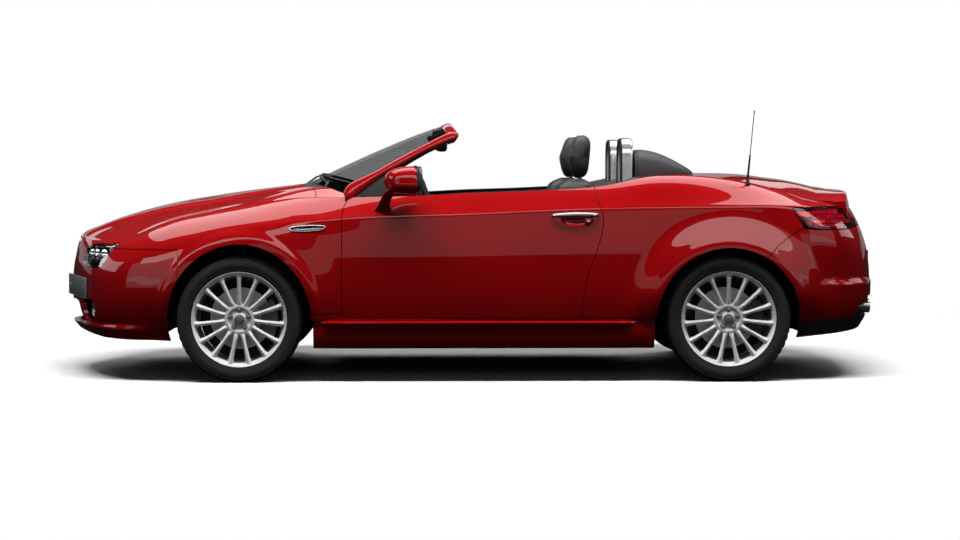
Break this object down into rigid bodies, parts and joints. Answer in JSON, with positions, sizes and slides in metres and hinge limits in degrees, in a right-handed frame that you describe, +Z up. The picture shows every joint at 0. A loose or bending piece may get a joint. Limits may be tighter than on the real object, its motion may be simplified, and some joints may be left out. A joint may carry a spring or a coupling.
{
  "type": "convertible car",
  "caption": "Two-seat open sports car with doors, bonnet, boot lid and roof cover that open, wheels that roll and front wheels that steer.",
  "frame": {"origin": "on the ground under the middle of the car's length and width", "axes": "+X towards the tail, +Y towards the car's right side, +Z up"},
  "size_m": [4.4027, 2.12, 1.4091],
  "materials": {
    "body_paint": "deep red metallic paint under clear lacquer",
    "dark_trim": "black moulded plastic",
    "structure": "dark coated pressed steel",
    "cover": "dark grey moulded cover",
    "engine": "plain metal block",
    "glass": "lightly tinted laminated glass",
    "seat": "charcoal leather",
    "chrome": "polished chrome",
    "headlamp": "clear lamp lens over dark reflectors",
    "tail_lamp": "red lamp lens in a dark grey surround",
    "plate": "blank grey plate",
    "exhaust": "steel pipes with bright tips",
    "rim": "silver painted cast alloy",
    "tyre": "black rubber"
  },
  "bodies": {
    "body": {"antenna": "dark_trim", "boot_tub": "dark_trim", "centre_console": "dark_trim", "dashboard": "dark_trim", "engine_block": "engine", "exhaust_system": "exhaust", "firewall_and_cowl": "dark_trim", "floor_pan": "structure", "front_bumper": "body_paint", "front_frame": "structure", "front_suspension": "structure", "front_wing_left": "body_paint", "front_wing_right": "body_paint", "fuel_tank": "structure", "grille": "chrome", "headlamps": "headlamp", "number_plates": "plate", "rack_housing": "structure", "rear_bulkhead": "structure", "rear_bumper": "body_paint", "rear_suspension": "structure", "rear_valance": "dark_trim", "rear_wing_left": "body_paint", "rear_wing_right": "body_paint", "roll_hoops": "chrome", "seat_back_left": "seat", "seat_back_right": "seat", "seat_cushion_left": "seat", "seat_cushion_right": "seat", "side_posts": "body_paint", "sills": "body_paint", "tail_lamps": "tail_lamp", "wheel_housings": "dark_trim", "windscreen_frame": "body_paint", "windscreen_glass": "glass"},
    "door_left": {"door_left": "body_paint", "mirror_left": "body_paint"},
    "door_right": {"door_right": "body_paint", "mirror_right": "body_paint"},
    "bonnet": {"bonnet": "body_paint"},
    "boot_lid": {"boot_lid": "body_paint"},
    "soft_top_cover": {"soft_top_cover": "body_paint", "headrest_fairings": "cover"},
    "steering_wheel": {"steering_wheel": "seat"},
    "steering_rack": {"steering_rack": "structure"},
    "knuckle_left": {"knuckle_left": "structure"},
    "knuckle_right": {"knuckle_right": "structure"},
    "wheel_front_left": {"rim_front_left": "rim", "tyre_front_left": "tyre"},
    "wheel_front_right": {"rim_front_right": "rim", "tyre_front_right": "tyre"},
    "wheel_rear_left": {"rim_rear_left": "rim", "tyre_rear_left": "tyre"},
    "wheel_rear_right": {"rim_rear_right": "rim", "tyre_rear_right": "tyre"}
  },
  "joints": [
    {"name": "front_left_steer", "type": "hinge", "parent": "body", "child": "knuckle_left", "pos_m": [-1.186, -0.755, 0.326], "axis": [0, 0, 1], "range_deg": [-33, 33]},
    {"name": "front_right_steer", "type": "hinge", "parent": "body", "child": "knuckle_right", "pos_m": [-1.186, 0.755, 0.326], "axis": [0, 0, 1], "range_deg": [-33, 33]},
    {"name": "steering_rack_slide", "type": "slide", "parent": "body", "child": "steering_rack", "axis": [0, 1, 0], "range_m": [-0.08, 0.08]},
    {"name": "steering_wheel_turn", "type": "hinge", "parent": "body", "child": "steering_wheel", "pos_m": [-0.22, -0.37, 0.949], "axis": [0.9239, 0, 0.3827], "range_deg": [-400, 400]},
    {"name": "wheel_front_left_spin", "type": "hinge", "parent": "knuckle_left", "child": "wheel_front_left", "pos_m": [-1.186, -0.78, 0.326], "axis": [0, 1, 0], "continuous": true},
    {"name": "wheel_front_right_spin", "type": "hinge", "parent": "knuckle_right", "child": "wheel_front_right", "pos_m": [-1.186, 0.78, 0.326], "axis": [0, 1, 0], "continuous": true},
    {"name": "wheel_rear_left_spin", "type": "hinge", "parent": "body", "child": "wheel_rear_left", "pos_m": [1.342, -0.78, 0.326], "axis": [0, 1, 0], "continuous": true},
    {"name": "wheel_rear_right_spin", "type": "hinge", "parent": "body", "child": "wheel_rear_right", "pos_m": [1.342, 0.78, 0.326], "axis": [0, 1, 0], "continuous": true},
    {"name": "door_left_hinge", "type": "hinge", "parent": "body", "child": "door_left", "pos_m": [-0.657, -0.899, 0.6], "axis": [0, 0, -1], "range_deg": [0, 65]},
    {"name": "door_right_hinge", "type": "hinge", "parent": "body", "child": "door_right", "pos_m": [-0.657, 0.899, 0.6], "axis": [0, 0, 1], "range_deg": [0, 65]},
    {"name": "bonnet_hinge", "type": "hinge", "parent": "body", "child": "bonnet", "pos_m": [-0.797, 0, 0.978], "axis": [0, 1, 0], "range_deg": [0, 50]},
    {"name": "boot_lid_hinge", "type": "hinge", "parent": "body", "child": "boot_lid", "pos_m": [1.335, 0, 1.082], "axis": [0, -1, 0], "range_deg": [0, 60]},
    {"name": "soft_top_cover_hinge", "type": "hinge", "parent": "body", "child": "soft_top_cover", "pos_m": [1.335, 0, 1.082], "axis": [0, 1, 0], "range_deg": [0, 50]}
  ],
  "couplings": [
    {"joint": "front_right_steer", "follows": "front_left_steer", "ratio": 1},
    {"joint": "steering_wheel_turn", "follows": "front_left_steer", "ratio": 12},
    {"joint": "steering_rack_slide", "follows": "front_left_steer", "m_per_rad": 0.13}
  ]
}
